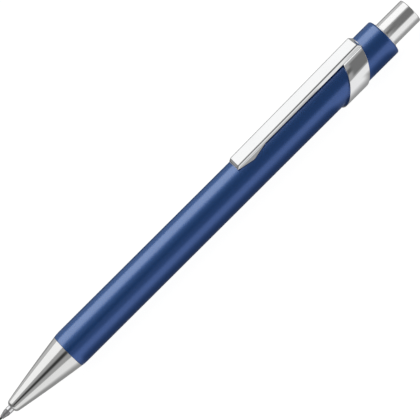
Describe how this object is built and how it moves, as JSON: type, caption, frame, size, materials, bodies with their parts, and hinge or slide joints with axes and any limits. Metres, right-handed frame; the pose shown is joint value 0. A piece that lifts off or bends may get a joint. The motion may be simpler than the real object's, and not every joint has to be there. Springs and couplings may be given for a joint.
{
  "type": "mechanical pencil",
  "caption": "Push-button mechanical pencil: slim lacquered barrel, chrome nose cone, clip with a slanted band, chrome button, clutch mechanism inside.",
  "frame": {"origin": "the writing point, on the pencil's axis", "axes": "+X runs back along the pencil's axis to the push button, +Z runs out through the middle of the clip, +Y completes the right-handed frame"},
  "size_m": [0.1377, 0.0108, 0.0119],
  "materials": {
    "blue_lacquer": "satin metallic blue lacquer",
    "chrome": "polished",
    "guide_metal": "turned, satin",
    "graphite": "dark, slightly shiny",
    "retainer_rubber": "soft, matt",
    "eraser_rubber": "white, matt",
    "brass": "turned",
    "spring_steel": "drawn wire",
    "white_plastic": "moulded, natural"
  },
  "bodies": {
    "case": {"barrel": "blue_lacquer", "front_bush": "brass", "mechanism_sleeve": "white_plastic", "return_spring": "spring_steel", "rear_bush": "white_plastic", "rear_cap": "blue_lacquer", "button_guide": "chrome", "clip_band": "chrome"},
    "nose": {"nose_cone": "chrome", "lead_guide": "guide_metal", "lead_retainer": "retainer_rubber"},
    "plunger": {"chuck": "brass", "chuck_coupler": "white_plastic", "lead_tube": "white_plastic", "spare_leads": "graphite", "eraser_holder": "guide_metal", "eraser": "eraser_rubber"},
    "button": {"push_button": "chrome"},
    "clutch": {"clutch_ring": "brass"},
    "writing_lead": {"lead": "graphite"},
    "clip": {"clip_arm": "chrome"}
  },
  "joints": [
    {"name": "button_press", "type": "slide", "parent": "case", "child": "plunger", "axis": [-1, 0, 0], "range_m": [0, 0.004], "stiffness_N_per_m": 600, "springref_m": -0.004, "deforming": ["return_spring"]},
    {"name": "clutch_slide", "type": "slide", "parent": "case", "child": "clutch", "axis": [-1, 0, 0], "range_m": [0, 0.0012]},
    {"name": "lead_feed", "type": "slide", "parent": "case", "child": "writing_lead", "axis": [-1, 0, 0], "range_m": [0, 0.0012]},
    {"name": "button_pull_off", "type": "slide", "parent": "plunger", "child": "button", "axis": [1, 0, 0], "range_m": [0, 0.014]},
    {"name": "nose_unscrew", "type": "slide", "parent": "case", "child": "nose", "axis": [-1, 0, 0], "range_m": [0, 0.02]},
    {"name": "clip_flex", "type": "hinge", "parent": "case", "child": "clip", "pos_m": [0.1166, 0, 0.00641], "axis": [0, 1, 0], "range_deg": [0, 4], "stiffness_Nm_per_rad": 1}
  ],
  "couplings": [
    {"joint": "clutch_slide", "follows": "button_press", "ratio": 0.3},
    {"joint": "lead_feed", "follows": "button_press", "ratio": 0.3}
  ]
}
